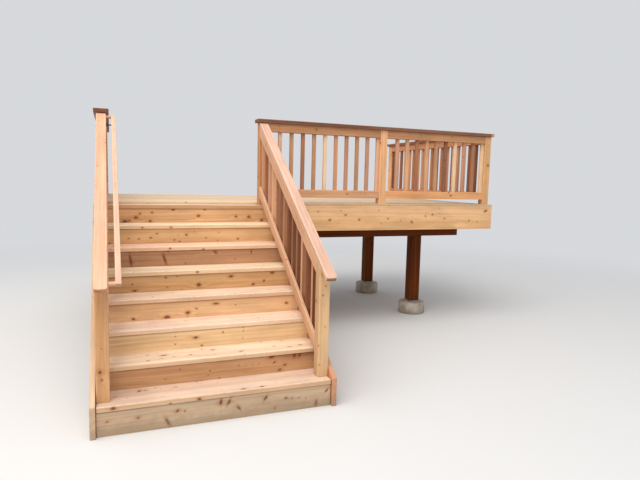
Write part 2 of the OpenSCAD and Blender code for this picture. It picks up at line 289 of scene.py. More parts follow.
def grain_marks(points, along, across, through, size, tint, knots):
    """What the wood's pattern needs at each point. "wood" is its place in the log, measured from a pith that
    lies behind the board and drifts along it; near a knot the place is pushed out by a bell curve, so that
    the rings flow round it. "knot" is the distance to the nearest knot's middle, in the knot's own sizes: a
    knot is a ball, drawn out along the grain. "tint" is the board's own colour."""
    length, width, depth = size
    pith_across = width * saw.uniform(-0.3, 1.3)
    pith_through = -saw.uniform(0.3, 1.6) * max(width, 0.06) * saw.choice((-1, 1))
    drift = saw.uniform(-0.02, 0.02, 2)
    start = saw.uniform(0, 40)
    nearest = np.full(len(points), no_knot_near)
    push = np.zeros(len(points))
    for place, height, inside, knot_size, stretch, lean in knots:
        dx, dy, dz = along - place, across - height, through - inside
        turned_x = dx * math.cos(lean) + dy * math.sin(lean)
        turned_y = dy * math.cos(lean) - dx * math.sin(lean)
        flat = np.hypot(turned_x / stretch, turned_y)
        nearest = np.minimum(nearest, np.hypot(flat, dz) / knot_size)
        away = np.hypot(dy, dz)
        push += 1.2 * knot_size * np.exp(-(dx / (4 * knot_size)) ** 2 - (away / (2 * knot_size)) ** 2)
    wood = np.column_stack((
        along + start,
        across - pith_across - drift[0] * along + push * np.sign(across - pith_across),
        through - pith_through - drift[1] * along + push,
    ))
    shade = 1 + saw.uniform(-0.05, 0.05)
    return {"wood": wood, "knot": nearest, "tint": np.tile(tint * shade, (len(points), 1))}


def board(low, high, grain, tint, ease=0.003, spacing=0.03, stations=0.5, knots=(), bend=None, lean=0.0):
    """One eased timber: its end outline is carried from end to end along the grain, and drawn in at both ends
    by a quarter circle of the same radius. bend may then move the points, as for a sloped cut, and lean is
    the slope of the grain over the Y axis. knots are (along, across, through, size, stretch, lean) from the
    low corner."""
    low, high = np.array(low, float), np.array(high, float)
    length, first, second = AXES[grain]
    size = (high - low)[[length, first, second]]
    outline, arris = end_outline(size[1], size[2], ease, spacing)
    turn = np.linspace(0, np.pi / 2, 3)
    inset = ease * (1 - np.sin(turn))
    run = ease * (1 - np.cos(turn))
    count = max(1, math.ceil((size[0] - 2 * ease) / stations))
    middle = np.linspace(ease, size[0] - ease, count + 1)[1:-1]
    places = np.concatenate((run, middle, size[0] - run[::-1]))
    insets = np.concatenate((inset, np.zeros(len(middle)), inset[::-1]))
    rows, columns = len(places), len(outline)
    local = np.empty((rows, columns, 3))
    local[:, :, length] = places[:, None]
    local[:, :, first] = np.clip(outline[None, :, 0], insets[:, None], size[1] - insets[:, None])
    local[:, :, second] = np.clip(outline[None, :, 1], insets[:, None], size[2] - insets[:, None])
    points = local.reshape(-1, 3) + low
    if bend:
        points = bend(points)
    grid = np.arange(rows * columns).reshape(rows, columns)
    ahead = np.roll(grid, -1, axis=1)
    walls = np.stack((grid[:-1], ahead[:-1], ahead[1:], grid[1:]), axis=2).reshape(-1, 4)
    faces = walls.tolist() + [grid[0][::-1].tolist(), grid[-1].tolist()]
    directions = np.eye(3)
    if lean:
        directions[1] = (0, math.cos(lean), math.sin(lean))
        directions[2] = (0, -math.sin(lean), math.cos(lean))
    wide, thin = (first, second) if size[1] >= size[2] else (second, first)
    spread = (points - low) @ directions.T
    marks = grain_marks(points, spread[:, length], spread[:, wide], spread[:, thin],
                        (size[0], max(size[1:]), min(size[1:])), tint, knots)
    cut = np.zeros((rows, columns))
    cut[[0, -1]] = 1.0
    edge = np.tile(arris, (rows, 1))
    edge[:2] = 1.0
    edge[-2:] = 1.0
    return {"points": points, "faces": faces, "cut": cut.ravel(), "edge": edge.ravel(), **marks}


def toned(shape, where, tone):
    """Multiplies the board's own colour by a tone at the points where something holds."""
    factor = np.where(where[:, None], np.array(tone), 1.0)
    return {**shape, "tint": shape["tint"] * factor}


def stretched(tree, vector, by):
    """A vector multiplied axis by axis."""
    return wire(tree, "ShaderNodeVectorMath", {0: vector, 1: by}, operation="MULTIPLY").outputs[0]


def length_of(tree, vector):
    """The length of a vector."""
    return wire(tree, "ShaderNodeVectorMath", {0: vector}, operation="LENGTH").outputs["Value"]


def tinted(tree, colour, tone):
    """A colour multiplied by a tone."""
    return blended(tree, 1.0, colour, tone, "MULTIPLY")


def pin_knots(tree, wood, share, size):
    """Pin knots: each cell of a lattice that is drawn out along the grain holds one random point, and a share
    of these are knots of a random size. Gives a sharp core and a soft halo by the distance to the point."""
    cells = (5.0, 15.0, 22.0)
    spread = stretched(tree, wood, cells)
    seeds = wire(tree, "ShaderNodeTexVoronoi", {"Vector": spread, "Scale": 1.0})
    away = wire(tree, "ShaderNodeVectorMath", {0: spread, 1: seeds.outputs["Position"]},
                operation="SUBTRACT").outputs[0]
    away = length_of(tree, stretched(tree, away, tuple(1 / cell for cell in cells)))
    draw = wire(tree, "ShaderNodeSeparateColor", {0: seeds.outputs["Color"]})
    here = reckoned(tree, "LESS_THAN", draw.outputs["Red"], share)
    reach = times(tree, draw.outputs["Green"], 2.5 * size, 0.5 * size)
    pin = reckoned(tree, "DIVIDE", away, reach)
    core = times(tree, eased_step(tree, pin, 0.7, 1.1, 1.0, 0.0), here)
    halo = times(tree, eased_step(tree, pin, 0.9, 3.0, 1.0, 0.0), here)
    return core, halo


def timber(name, rings=0.0045, ring_depth=0.25, streak_depth=0.5, pins=0.5, pin_size=0.004, rough=0.5,
           heart=(0.78, 0.62, 0.50), dust=0.0, shine=0.3):
    """Planed softwood. Growth rings are a sawtooth of the distance to the pith, whose spacing a slow noise
    varies; on top lie broad bands, long streaks, fine fibres, soft blotches, pin knots, and the knots listed
    for each board. Arrises are rubbed paler and smoother in patches, and fine drying cracks run with the grain.
    Sawn ends are darker and show their rings more, and dust lies on what stands near the ground."""
    material, tree, shader = new_finish(name)
    marks = {"wood": "Vector", "tint": "Color", "knot": "Fac", "cut": "Fac", "edge": "Fac"}
    wood, tint, knot, cut, edge = (
        wire(tree, "ShaderNodeAttribute", attribute_name=mark).outputs[kind] for mark, kind in marks.items()
    )

    # Three numbers after wood or grain: how often a pattern changes in a metre along, across and through
    sway = cloud(tree, stretched(tree, wood, (1.4, 6.0, 6.0)), output="Color")
    sway = stretched(tree, sway, (0.0, 0.018, 0.018))
    grain = wire(tree, "ShaderNodeVectorMath", {0: wood, 1: sway}, operation="ADD").outputs[0]
    radius = length_of(tree, stretched(tree, grain, (0.0, 1.0, 1.0)))
    bands = wire(tree, "ShaderNodeTexNoise", {"W": radius, "Scale": 34.0, "Detail": 2.0},
                 noise_dimensions="1D").outputs["Fac"]
    phase = times(tree, bands, 6.0, reckoned(tree, "DIVIDE", radius, rings))
    ring = eased_step(tree, reckoned(tree, "FRACT", phase), 0.45, 0.95)
    streaks = cloud(tree, stretched(tree, grain, (0.8, 48.0, 48.0)), 1.0, 3.0, 0.6)
    fibres = cloud(tree, stretched(tree, wood, (16.0, 620.0, 620.0)), 1.0, 2.0, 0.6)
    blotch = cloud(tree, stretched(tree, wood, (2.6, 9.0, 9.0)), 1.0, 3.0, 0.55)

    shade = times(tree, ring, ring_depth)
    shade = times(tree, eased_step(tree, bands, 0.38, 0.68), streak_depth * 0.7, shade)
    shade = times(tree, eased_step(tree, streaks, 0.42, 0.72), streak_depth, shade)
    shade = times(tree, fibres, 0.12, shade)
    dark = tinted(tree, tint, (*heart, 1))
    colour = blended(tree, shade, tint, dark)
    colour = tinted(tree, colour, eased_step(tree, blotch, 0.3, 0.7, 0.9, 1.08))
    patchy = cloud(tree, wood, 26.0, 3.0, 0.6)
    rubbed = times(tree, edge, eased_step(tree, patchy, 0.35, 0.6, 0.15, 0.6))
    colour = blended(tree, rubbed, colour, tinted(tree, tint, (1.12, 1.14, 1.16, 1)))
    split = cloud(tree, stretched(tree, grain, (2.2, 150.0, 150.0)), 1.0, 1.0, 0.4)
    crack = eased_step(tree, split, 0.27, 0.235)
    colour = blended(tree, times(tree, crack, 0.5), colour, dark)

    pin_core, pin_halo = pin_knots(tree, wood, pins, pin_size)
    ragged = cloud(tree, wood, 130.0, 2.0, 0.6)
    knot = times(tree, ragged, 1.1, reckoned(tree, "SUBTRACT", knot, 0.55))
    core = reckoned(tree, "MAXIMUM", eased_step(tree, knot, 0.6, 1.15, 1.0, 0.0), pin_core)
    halo = reckoned(tree, "MAXIMUM", eased_step(tree, knot, 0.8, 2.4, 1.0, 0.0), pin_halo)
    ripple = reckoned(tree, "SINE", times(tree, knot, 14.0))
    heartwood = blended(tree, eased_step(tree, ripple, -1.0, 1.0), opaque(116, 68, 40), opaque(80, 46, 30))
    reddened = tinted(tree, colour, (0.74, 0.50, 0.37, 1))
    colour = blended(tree, times(tree, halo, 0.5), colour, reddened)
    colour = blended(tree, times(tree, core, 0.82), colour, heartwood)

    end_light = tinted(tree, colour, (0.80, 0.66, 0.54, 1))
    end_dark = tinted(tree, colour, (0.46, 0.32, 0.24, 1))
    end_rings = blended(tree, ring, end_light, end_dark)
    colour = blended(tree, times(tree, cut, 0.9), colour, end_rings)
    if dust:
        place = own_place(tree)
        drift = cloud(tree, place, 14.0, 4.0, 0.65)
        height = reckoned(tree, "ADD", height_of(tree, place), 0.08)
        settled = times(tree, drift, -0.16, height)
        cover = eased_step(tree, settled, 0.0, 0.14, dust, 0.0)
        colour = blended(tree, cover, colour, opaque(150, 128, 104))

    relief = times(tree, ring, -0.35, fibres)
    relief = times(tree, core, 0.6, relief)
    relief = times(tree, crack, -1.5, relief)
    bump = wire(tree, "ShaderNodeBump", {"Height": relief, "Strength": 0.35, "Distance": 0.0006})
    tree.links.new(colour, shader.inputs["Base Color"])
    worn = times(tree, rubbed, -0.12, rough)
    tree.links.new(times(tree, fibres, 0.2, worn), shader.inputs["Roughness"])
    tree.links.new(bump.outputs["Normal"], shader.inputs["Normal"])
    shader.inputs["Specular IOR Level"].default_value = shine
    return material


def side_by_side(low, high, count, axis, each):
    """Low and high corners of a row of like timbers, each with the given size along the axis, whose first and
    last are flush with the ends of the row."""
    starts = np.linspace(low[axis], high[axis] - each, count)
    lows, highs = np.tile(np.array(low, float), (count, 1)), np.tile(np.array(high, float), (count, 1))
    lows[:, axis] = starts
    highs[:, axis] = starts + each
    return list(zip(lows, highs))


heavy_ease = 0.006
stain = srgb(118, 59, 14)
dark_fir = timber("dark_stained_fir", rings=0.006, ring_depth=0.5, streak_depth=0.7, pins=0.25,
                  pin_size=0.006, rough=0.6, heart=(0.50, 0.40, 0.32), shine=0.12)
columns = []
for x_low, x_high in side_by_side(post_low, post_high, posts_per_beam, 0, beam_side):
    for low, high in side_by_side(x_low, x_high, beam_count, 1, beam_side):
        columns.append(board(low, high, "z", stain, ease=heavy_ease))
put_in_place("heavy_posts", columns, dark_fir, "beam_posts")

girders = [board(low, high, "x", stain, ease=heavy_ease)
           for low, high in side_by_side(beam_low, beam_high, beam_count, 1, beam_side)]
put_in_place("heavy_beams", girders, dark_fir, "beams")

# JOISTS, HEADER AND LEDGER
# Sawn planks on edge: the joists run back from the front rim to the ledger on the building,
# and three planks nailed together between the head posts carry those behind the steps.

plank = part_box("tread_1")[1].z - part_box("tread_1")[0].z
joist_count, header_plies = 11, 3
rough_spacing = 0.15
framing = timber("sawn_framing", rings=0.005, ring_depth=0.4, streak_depth=0.4, pins=0.4, pin_size=0.007,
                 rough=0.6)
straw = srgb(222, 188, 140)
joist_low, joist_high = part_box("joists")
header_low, header_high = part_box("stair_header")
front_post_low, front_post_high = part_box("front_post")
joist_planks = []
for low, high in side_by_side(joist_low, joist_high, joist_count, 0, plank):
    if low[0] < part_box("head_post_right")[1].x:
        low[1] = header_high.y
    elif high[0] > front_post_low.x and low[0] < front_post_high.x:
        low[1] = front_post_high.y
    joist_planks.append(board(low, high, "y", straw, spacing=rough_spacing))
put_in_place("joist_planks", joist_planks, framing, "joists")
header_planks = [board(low, high, "x", straw, spacing=rough_spacing)
                 for low, high in side_by_side(header_low, header_high, header_plies, 1, plank)]
put_in_place("header_planks", header_planks, framing, "stair_header")
ledger_plank = board(*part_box("ledger"), "x", straw, spacing=rough_spacing)
put_in_place("ledger_plank", [ledger_plank], framing, "ledger")

# RIMS
# Clear golden planks of cedar close the deck's edges, nailed to the ends of the joists.
# The front one shows a few knots and a darker lower half.

honey = srgb(234, 190, 142)
rim_cedar = timber("rim_cedar", ring_depth=0.16, streak_depth=0.42, pins=0.45, pin_size=0.0035)
plank_ease = 0.004
fine = 0.010
# Knots of the front rim: from its left end, over its lower edge, size, stretch and lean if any
rim_knots = [
    (0.45, 0.233, 0.010, 1.3, 0.2), (0.73, 0.123, 0.012, 1.6, 0.3), (0.865, 0.229, 0.007, 1.2),
    (0.927, 0.178, 0.010, 1.5, 0.4), (1.102, 0.125, 0.011, 1.5, 0.1), (1.354, 0.238, 0.007, 1.2),
    (1.482, 0.135, 0.009, 1.4, 0.2), (1.654, 0.110, 0.007, 1.5), (1.809, 0.093, 0.012, 1.6, -0.4),
    (2.099, 0.186, 0.011, 1.5, 0.2), (2.276, 0.136, 0.009, 1.3, 0.5), (2.645, 0.107, 0.009, 1.5, 0.3),
    (2.894, 0.230, 0.014, 2.0, 0.5),
]
# Up to a gently waving line the plank is darker
heart_height, heart_wave, heart_bend = 0.13, 0.008, 2.1
heart_tone = (0.93, 0.90, 0.82)
# A pale patch on it: from its left end, over its lower edge, half length and half height
patch_x, patch_z, patch_length, patch_height = 2.536, 0.045, 0.10, 0.034
patch_tone = (1.09, 1.10, 1.14)


def on_face(rows, across=0, through=0):
    """Knots read from a board's face, made ready for the board: moved across it by what is hidden below, set
    at a depth in it, and with no lean where none is given."""
    return [(x, y + across, through, size, stretch, *(lean or [0.0])) for x, y, size, stretch, *lean in rows]


rim_low, rim_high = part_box("rim_front")
front_rim = board(rim_low, rim_high, "x", honey, ease=plank_ease, spacing=fine, stations=fine,
                  knots=on_face(rim_knots))
rim_x, rim_z = front_rim["points"][:, 0], front_rim["points"][:, 2] - rim_low.z
front_rim = toned(front_rim, rim_z < heart_height + heart_wave * np.sin(heart_bend * rim_x), heart_tone)
from_patch = np.hypot((rim_x - rim_low.x - patch_x) / patch_length, (rim_z - patch_z) / patch_height)
front_rim = toned(front_rim, from_patch < 1, patch_tone)
put_in_place("front_rim_plank", [front_rim], rim_cedar, "rim_front")
for side in ("left", "right"):
    side_rim = board(*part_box("rim_" + side), "y", honey, ease=plank_ease)
    put_in_place(side + "_rim_plank", [side_rim], rim_cedar, "rim_" + side)

# DECKING
# Cream cedar boards laid along the front with a narrow gap between them, and screwed to every joist.
# The boards that meet a post are cut out round it.

deck_low, deck_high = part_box("decking")
deck_rows = 18
deck_gap, post_gap, nosing_gap = 0.005, 0.0015, 0.002
deck_pitch = (deck_high.y - deck_low.y + deck_gap) / deck_rows
deck_cedar = timber("decking_cedar", ring_depth=0.16, streak_depth=0.34, pins=0.55, pin_size=0.003)
creams = [srgb(223, 202, 172), srgb(218, 191, 156), srgb(226, 206, 173), srgb(216, 188, 158)]
# Painted shade along the front edge of the first decking board
front_edge_shade_tone = (0.76, 0.66, 0.57)
deck_ease, edge_strip = 0.002, 0.005


def any_of(colours):
    """One of the colours, drawn at random."""
    return colours[int(saw.integers(len(colours)))]


def unmarked(points, faces, marks):
    """A shape with no rubbed arrises and no darker sawn ends."""
    none = np.zeros(len(points))
    return {"points": points, "faces": faces, "cut": none, "edge": none, **marks}


def cut_round(low, high, holes, tint, spacing=0.06, knots=()):
    """A board along the X axis with rectangular cut-outs: a grid of cells whose lines pass through every
    corner of the cut-outs, with the cells in them left away, closed by walls wherever a kept cell meets one
    that is not kept. One line each way lies close inside the low edge, so that a toned edge ends there."""
    low, high = np.array(low, float), np.array(high, float)
    lines = []
    for axis in (0, 1):
        edges = [low[axis], low[axis] + edge_strip, high[axis]]
        edges += [hole[side][axis] for hole in holes for side in (0, 1)]
        edges = np.unique(np.clip(edges, low[axis], high[axis]))
        counts = np.ceil(np.diff(edges) / spacing).astype(int)
        lines.append(np.concatenate([np.linspace(a, b, n, endpoint=False)
                                     for a, b, n in zip(edges[:-1], edges[1:], counts)] + [edges[-1:]]))
    xs, ys = lines
    middle_x, middle_y = np.meshgrid((xs[1:] + xs[:-1]) / 2, (ys[1:] + ys[:-1]) / 2, indexing="ij")
    kept = np.ones(middle_x.shape, bool)
    for (x0, y0), (x1, y1) in holes:
        kept &= ~((middle_x > x0) & (middle_x < x1) & (middle_y > y0) & (middle_y < y1))
    grid_x, grid_y = np.meshgrid(xs, ys, indexing="ij")
    layer = np.column_stack((grid_x.ravel(), grid_y.ravel()))
    points = np.vstack([np.column_stack((layer, np.full(len(layer), z))) for z in (low[2], high[2])])
    under = np.arange(grid_x.size).reshape(grid_x.shape)
    over = under + grid_x.size
    rows, columns = kept.shape
    around = [(0, 0), (1, 0), (1, 1), (0, 1)]
    beneath = [under[i:i + rows, j:j + columns] for i, j in around]
    above = [over[i:i + rows, j:j + columns] for i, j in around]
    quads = [np.stack(above, axis=2)[kept], np.stack(beneath[:1] + beneath[:0:-1], axis=2)[kept]]
    fence = np.pad(kept, 1)
    for first, (i, j) in enumerate([(0, -1), (1, 0), (0, 1), (-1, 0)]):
        second = (first + 1) % 4
        open_side = kept & ~fence[1 + i:1 + i + rows, 1 + j:1 + j + columns]
        wall = (beneath[first], beneath[second], above[second], above[first])
        quads.append(np.stack(wall, axis=2)[open_side])
    used, faces = np.unique(np.concatenate(quads), return_inverse=True)
    points = points[used]
    marks = grain_marks(points, *(points - low).T, high - low, tint, knots)
    return unmarked(points, faces.reshape(-1, 4).tolist(), marks)


def ease_edges(piece, radius):
    """Rounds the square edges of a sawn piece."""
    bevel = piece.modifiers.new("eased_edges", "BEVEL")
    bevel.width = radius
    bevel.segments = 2
    bevel.limit_method = "ANGLE"
    bevel.angle_limit = math.radians(50)


def round_post(node):
    """The rectangle on the floor that is cut out round a post, with a little play."""
    low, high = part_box(node)
    return (low.x - post_gap, low.y - post_gap), (high.x + post_gap, high.y + post_gap)


def low_side(shape, axis, edge, within=0.001):
    """Which points of a shape lie on its low side along an axis."""
    return shape["points"][:, axis] < edge + within


head_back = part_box("deck_nosing")[1].y + nosing_gap
rows_whole, rows_cut = [], []
for row in range(deck_rows):
    y0 = deck_low.y + row * deck_pitch
    y1 = y0 + deck_pitch - deck_gap
    cream = any_of(creams)
    low, high = (deck_low.x, y0, deck_low.z), (deck_high.x, y1, deck_high.z)
    if row == 0:
        front_posts = [round_post("front_post"), round_post("corner_post")]
        front_board = cut_round((rim_low.x, y0, deck_low.z), high, front_posts, cream)
        # Painted shade: the front board's front face and the first strip of its top are darkened, as the shadow
        # at the deck's edge
        rows_cut.append(toned(front_board, low_side(front_board, 1, y0), front_edge_shade_tone))
        rows_whole.append(board(low, (deck_low.x + plank, y1, deck_high.z), "x", cream))
    elif row == deck_rows - 1:
        rear_posts = [round_post("rear_post_left"), round_post("rear_post_right")]
        rows_cut.append(cut_round(low, deck_high, rear_posts, cream))
    else:
        low = (deck_low.x, max(y0, head_back), deck_low.z)
        rows_whole.append(board(low, high, "x", cream, spacing=0.07))
put_in_place("decking_boards", rows_whole, deck_cedar, "decking")
cut_boards = put_in_place("decking_boards_cut_round_posts", rows_cut, deck_cedar, "decking")
ease_edges(cut_boards, deck_ease)

# DECK POSTS
# Square cedar posts bolted inside the rims, which run up through the decking to the cap boards.
# No two come from one tree, so those in front run from gold to brown.

post_ease = 0.005
deck_posts = ("head_post_left", "head_post_right", "front_post", "corner_post",
              "rear_post_left", "rear_post_right")
amber = srgb(228, 179, 128)
post_colours = {"head_post_left": srgb(214, 164, 120), "head_post_right": srgb(198, 146, 101),
                "front_post": srgb(240, 189, 138), "corner_post": srgb(220, 174, 123)}
post_cedar = timber("post_cedar", ring_depth=0.22, streak_depth=0.45, pins=0.45, pin_size=0.005)
for node in deck_posts:
    square = board(*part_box(node), "z", post_colours.get(node, amber), ease=post_ease)
    put_in_place(node + "_square", [square], post_cedar, node)

# DECK RAILS
# Two rails between each pair of posts, one low and one under the cap. Each is a pair of boards on edge,
# flush with both faces of the posts, with the sticks between them.

rail_low, rail_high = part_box("deck_rails_front")
rail_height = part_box("stair_cap_left")[1].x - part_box("stair_cap_left")[0].x
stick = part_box("deck_balusters_left")[1].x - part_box("deck_balusters_left")[0].x
rail_board = (rail_high.y - rail_low.y - stick) / 2
bays = [(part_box("head_post_right")[1].x, front_post_low.x), (front_post_high.x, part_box("corner_post")[0].x)]
rail_cedar = timber("rail_cedar", ring_depth=0.2, streak_depth=0.5, pins=0.5, pin_size=0.004)
# Low and high rail of each front bay, with the knots from the left end and over the lower edge
rail_colours = [(srgb(213, 165, 126), srgb(193, 143, 102)), (srgb(228, 170, 117), srgb(195, 143, 101))]
rail_knots = [
    ([(0.96, 0.05, 0.008, 1.5, 0.2)],
     [(0.129, 0.064, 0.007, 1.4), (0.398, 0.011, 0.006, 1.3), (0.563, 0.046, 0.009, 1.5, 0.1)]),
    ([(0.92, 0.045, 0.010, 1.5, 0.1)], [(0.45, 0.05, 0.007, 1.4)]),
]
side_rail_colour = srgb(200, 138, 96)
front_rails = []
for (x0, x1), colours, bay_knots in zip(bays, rail_colours, rail_knots):
    levels = side_by_side((x0, rail_low.y, rail_low.z), (x1, rail_high.y, rail_high.z), 2, 2, rail_height)
    for (low, high), colour, knots in zip(levels, colours, bay_knots):
        front, back = side_by_side(low, high, 2, 1, rail_board)
        front_rails.append(board(*front, "x", colour, ease=plank_ease, spacing=fine, stations=0.012,
                                 knots=on_face(knots)))
        front_rails.append(board(*back, "x", colour, ease=plank_ease))
put_in_place("front_rail_boards", front_rails, rail_cedar, "deck_rails_front")
for side in ("left", "right"):
    side_rails = []
    for low, high in side_by_side(*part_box("deck_rails_" + side), 2, 2, rail_height):
        side_rails += [board(a, b, "y", side_rail_colour, ease=plank_ease)
                       for a, b in side_by_side(low, high, 2, 0, rail_board)]
    put_in_place(side + "_rail_boards", side_rails, rail_cedar, "deck_rails_" + side)

# DECK BALUSTERS
# Square sticks held between the boards of the rails. They come from many boards, so their colours differ:
# some are cream, some pink, some nearly red.

side_stick_count = 19
stick_spacing = 0.04
cream, tan_cream, straw_gold = srgb(236, 204, 166), srgb(224, 180, 148), srgb(218, 170, 130)
orange, pink, tan_brown = srgb(210, 159, 119), srgb(199, 150, 119), srgb(188, 143, 106)
reddish, mauve, deep_red = srgb(174, 119, 84), srgb(150, 102, 76), srgb(126, 76, 49)
stick_cedar = timber("stick_cedar", ring_depth=0.22, streak_depth=0.45, pins=0.3, pin_size=0.003)
# From left to right in each front bay
front_stick_colours = [
    [tan_cream, tan_brown, reddish, tan_brown, cream, orange, pink, tan_brown, pink, tan_cream],
    [pink, straw_gold, reddish, straw_gold, tan_brown, mauve, cream, pink, reddish, cream],
]
side_stick_colours = [reddish, mauve, pink, deep_red, orange]
low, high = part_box("deck_balusters_front")
front_sticks = []
for (x0, x1), colours in zip(bays, front_stick_colours):
    first = x0 + (x1 - x0 - stick) / len(colours)
    places = side_by_side((first, low.y, low.z), (x1, high.y, high.z), len(colours), 0, stick)
    front_sticks += [board(a, b, "z", colour, spacing=stick_spacing)
                     for (a, b), colour in zip(places, colours)]
put_in_place("front_sticks", front_sticks, stick_cedar, "deck_balusters_front")
for side in ("left", "right"):
    side_sticks = [board(a, b, "z", any_of(side_stick_colours), spacing=stick_spacing)
                   for a, b in side_by_side(*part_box("deck_balusters_" + side), side_stick_count, 1, stick)]
    put_in_place(side + "_sticks", side_sticks, stick_cedar, "deck_balusters_" + side)

# DECK CAPS
# Flat boards nailed on the posts and rails, stained a dark red-brown.
# The stain stops short of the right end of the front board's edge, where bare wood shows.

cap_stain, bare_wood = srgb(140, 96, 74), srgb(206, 158, 116)
bare_length = 0.045
cap_wood = timber("dark_cap_board", ring_depth=0.5, streak_depth=0.8, pins=0.3, pin_size=0.005, rough=0.45,
                  heart=(0.55, 0.47, 0.42))
for side, grain, stations in (("front", "x", 0.015), ("left", "y", 0.5), ("right", "y", 0.5)):
    node = "deck_cap_" + side
    low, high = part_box(node)
    cap = board(low, high, grain, cap_stain, ease=heavy_ease, stations=stations)
    if side == "front":
        bare = low_side(cap, 1, low.y, 0.003) & (cap["points"][:, 0] > high.x - bare_length)
        cap = toned(cap, bare, bare_wood / cap_stain)
    put_in_place(side + "_cap_board", [cap], cap_wood, node)

# CARRIAGES
# Five planks sawn into teeth, one under each end of the treads and three between.
# Each level edge carries a tread and each plumb edge a riser.

tread_count, carriage_count = 7, 5
tread_boxes = [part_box("tread_%d" % number) for number in range(1, tread_count + 1)]
nose = [low.y for low, high in tread_boxes]
tread_top = [high.z for low, high in tread_boxes]
going = nose[1] - nose[0]
slope = (tread_top[1] - tread_top[0]) / going
pitch_angle = math.atan(slope)
cos_pitch, sin_pitch = math.cos(pitch_angle), math.sin(pitch_angle)
riser_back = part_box("riser_1")[1].y - nose[0]
saw_depth = rim_high.z - rim_low.z
sawn_ease = 0.0015
# The plank that a sloped piece is sawn from: length and width
sloped_plank = (2.3, 0.286)


def nose_line(y):
    """Height of the straight line through the noses, at the place y."""
    return tread_top[0] + slope * (y - nose[0])


def sawn(outline, x0, x1, tint):
    """A plank sawn to an outline in Y and Z, which goes clockwise as seen from the right: the outline is
    carried straight through the plank's thickness."""
    outline = np.array(outline)
    count = len(outline)
    points = np.vstack([np.column_stack((np.full(count, x), outline)) for x in (x0, x1)])
    here = np.arange(count)
    after = np.roll(here, -1)
    walls = np.stack((here, after, after + count, here + count), axis=1)
    faces = [here.tolist(), (here + count)[::-1].tolist()] + walls[:, ::-1].tolist()
    y = points[:, 1] - outline[0, 0]
    z = points[:, 2] - outline[0, 1]
    along = y * cos_pitch + z * sin_pitch
    across = z * cos_pitch - y * sin_pitch
    marks = grain_marks(points, along, across, points[:, 0] - x0, (*sloped_plank, x1 - x0), tint, ())
    return unmarked(points, faces, marks)


carriage_low, carriage_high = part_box("carriages")
carriage_xs = np.linspace(carriage_low.x, carriage_high.x - plank, carriage_count)
carriage_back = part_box("head_post_left")[0].y
tooth_y = np.repeat(np.array(nose + [nose[-1] + going]) + riser_back, 2)[1:-1]
tooth_z = np.repeat(np.array(tread_top) - plank, 2)
tooth_y[-1] = carriage_back
low_line = tooth_z[0] - slope * tooth_y[0] - saw_depth / cos_pitch
under = [(carriage_back, low_line + slope * carriage_back), (-low_line / slope, 0)]
outline = [(tooth_y[0], 0)] + list(zip(tooth_y, tooth_z)) + under
carriages = [sawn(outline, x, x + plank, straw) for x in carriage_xs]
teeth = put_in_place("carriage_planks", carriages, framing, "carriages")
ease_edges(teeth, sawn_ease)

# SKIRTS
# Two wide planks on the slope outside the treads' ends, sawn plumb in front and level on the ground.
# Dust and splashed earth dull their feet.

skirt_colours = {"left": srgb(210, 181, 150), "right": srgb(210, 156, 119)}
skirt_cedar = timber("skirt_cedar", ring_depth=0.18, streak_depth=0.45, pins=0.4, pin_size=0.004, dust=0.5)
for side in ("left", "right"):
    low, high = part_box("skirt_" + side)
    top_over = high.z - nose_line(high.y)
    low_over = top_over - saw_depth / cos_pitch
    foot_y = nose[0] - (tread_top[0] + low_over) / slope
    outline = [
        (low.y, 0), (foot_y, 0), (high.y, nose_line(high.y) + low_over),
        (high.y, high.z), (low.y, nose_line(low.y) + top_over),
    ]
    shape = sawn(outline[::-1], low.x, high.x, skirt_colours[side])
    skirt = put_in_place(side + "_skirt_plank", [shape], skirt_cedar, "skirt_" + side)
    ease_edges(skirt, plank_ease)

# RISERS
# Thin cedar boards that close the fronts under the treads; the last runs in front of the head posts.
# No two are from the same board: from grey-tan at the ground to golden and red ones higher up.

riser_colours = [
    srgb(206, 180, 150), srgb(208, 164, 121), srgb(243, 213, 166), srgb(229, 192, 147),
    srgb(212, 174, 126), srgb(184, 144, 110), srgb(216, 181, 133), srgb(216, 179, 134),
]
# Soft stains in some risers: middle, over the tread below, half length, half height and tone
riser_stains = {
    1: [(0.30, 0.03, 0.25, 0.05, (0.86, 0.84, 0.82)), (1.15, 0.10, 0.30, 0.05, (0.90, 0.88, 0.86))],
    2: [(1.50, 0.13, 0.22, 0.035, (0.62, 0.50, 0.44)), (0.55, 0.10, 0.30, 0.02, (0.84, 0.78, 0.74)),
        (1.05, 0.05, 0.35, 0.02, (0.90, 0.84, 0.80))],
    3: [(0.74, 0.08, 0.10, 0.012, (0.86, 0.80, 0.74))],
    5: [(1.35, 0.10, 0.25, 0.03, (0.84, 0.78, 0.72)), (0.60, 0.02, 0.30, 0.02, (0.90, 0.86, 0.82))],
    6: [(0.42, 0.05, 0.22, 0.05, (0.84, 0.79, 0.76)), (1.25, 0.03, 0.30, 0.03, (1.10, 1.08, 1.04))],
    8: [(0.35, 0.05, 0.20, 0.05, (0.88, 0.82, 0.78)), (1.55, 0.04, 0.15, 0.05, (0.88, 0.84, 0.80))],
}
